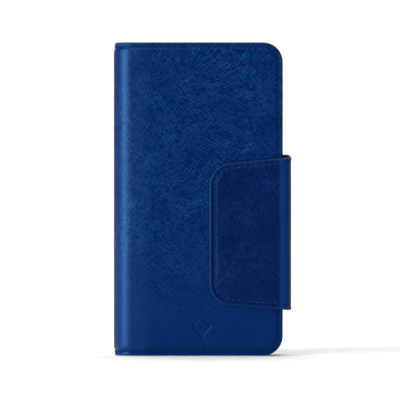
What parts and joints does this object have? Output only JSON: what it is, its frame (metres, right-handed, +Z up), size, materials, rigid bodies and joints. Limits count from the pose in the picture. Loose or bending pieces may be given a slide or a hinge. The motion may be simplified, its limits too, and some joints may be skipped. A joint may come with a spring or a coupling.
{
  "type": "phone wallet case",
  "caption": "Tall book-style phone wallet in blue leathercloth with a soft round spine, a moulded phone tray, card pockets and a wide magnetic closing flap.",
  "frame": {"origin": "bottom centre of the bounding box of the closed case, standing on its short lower edge", "axes": "+Z up along the height, front cover faces -Y, spine towards -X, closing flap towards +X"},
  "size_m": [0.0859, 0.0208, 0.152],
  "materials": {
    "leathercloth": "smooth semi-gloss leathercloth with a fine creased grain",
    "flap_leathercloth": "smooth semi-gloss leathercloth, a shade deeper",
    "lining": "matt microfibre",
    "pocket_sheet": "fine grained leathercloth",
    "board": "grey pressed board",
    "foam": "closed-cell padding",
    "tray": "satin flexible moulding",
    "adhesive": "double-sided sheet",
    "thread": "twisted sewing thread",
    "magnet": "nickel plated",
    "steel": "plain sheet"
  },
  "bodies": {
    "back_cover": {"back_skin": "leathercloth", "back_board": "board", "back_lining": "lining", "back_seam_thread": "thread", "phone_tray": "tray", "tray_adhesive_sheet": "adhesive", "flap_root_skin": "flap_leathercloth", "flap_root_lining": "lining"},
    "spine_back": {"spine_skin_back": "leathercloth", "spine_lining_back": "lining"},
    "spine_front": {"spine_skin_front": "leathercloth", "spine_lining_front": "lining"},
    "front_cover": {"front_skin": "leathercloth", "front_foam": "foam", "front_board": "board", "front_lining": "lining", "closing_plates": "steel", "front_seam_thread": "thread", "cash_pocket": "pocket_sheet", "card_pocket_1": "pocket_sheet", "card_pocket_2": "pocket_sheet", "card_pocket_3": "pocket_sheet", "pocket_seam_thread": "thread"},
    "flap_side": {"flap_side_skin": "flap_leathercloth", "flap_side_lining": "lining"},
    "flap_tongue": {"flap_tongue_skin": "flap_leathercloth", "flap_tongue_lining": "lining", "flap_board": "board", "flap_magnets": "magnet", "flap_seam_thread": "thread"}
  },
  "joints": [
    {"name": "cover_open", "type": "hinge", "parent": "back_cover", "child": "spine_back", "pos_m": [-0.03796, 0.00847, 0.076], "axis": [0, 0, -1], "range_deg": [0, 100]},
    {"name": "spine_fold_middle", "type": "hinge", "parent": "spine_back", "child": "spine_front", "pos_m": [-0.04219, 0.00115, 0.076], "axis": [0, 0, -1], "range_deg": [0, 100]},
    {"name": "spine_fold_front", "type": "hinge", "parent": "spine_front", "child": "front_cover", "pos_m": [-0.03796, -0.00617, 0.076], "axis": [0, 0, -1], "range_deg": [0, 100]},
    {"name": "flap_side_bend", "type": "hinge", "parent": "back_cover", "child": "flap_side", "pos_m": [0.04147, 0.00788, 0.0592], "axis": [0, 0, 1], "range_deg": [0, 90]},
    {"name": "flap_tongue_bend", "type": "hinge", "parent": "flap_side", "child": "flap_tongue", "pos_m": [0.04129, -0.00871, 0.0592], "axis": [0, 0, 1], "range_deg": [0, 90]}
  ],
  "couplings": [
    {"joint": "spine_fold_middle", "follows": "cover_open", "ratio": 1},
    {"joint": "spine_fold_front", "follows": "cover_open", "ratio": 1}
  ]
}
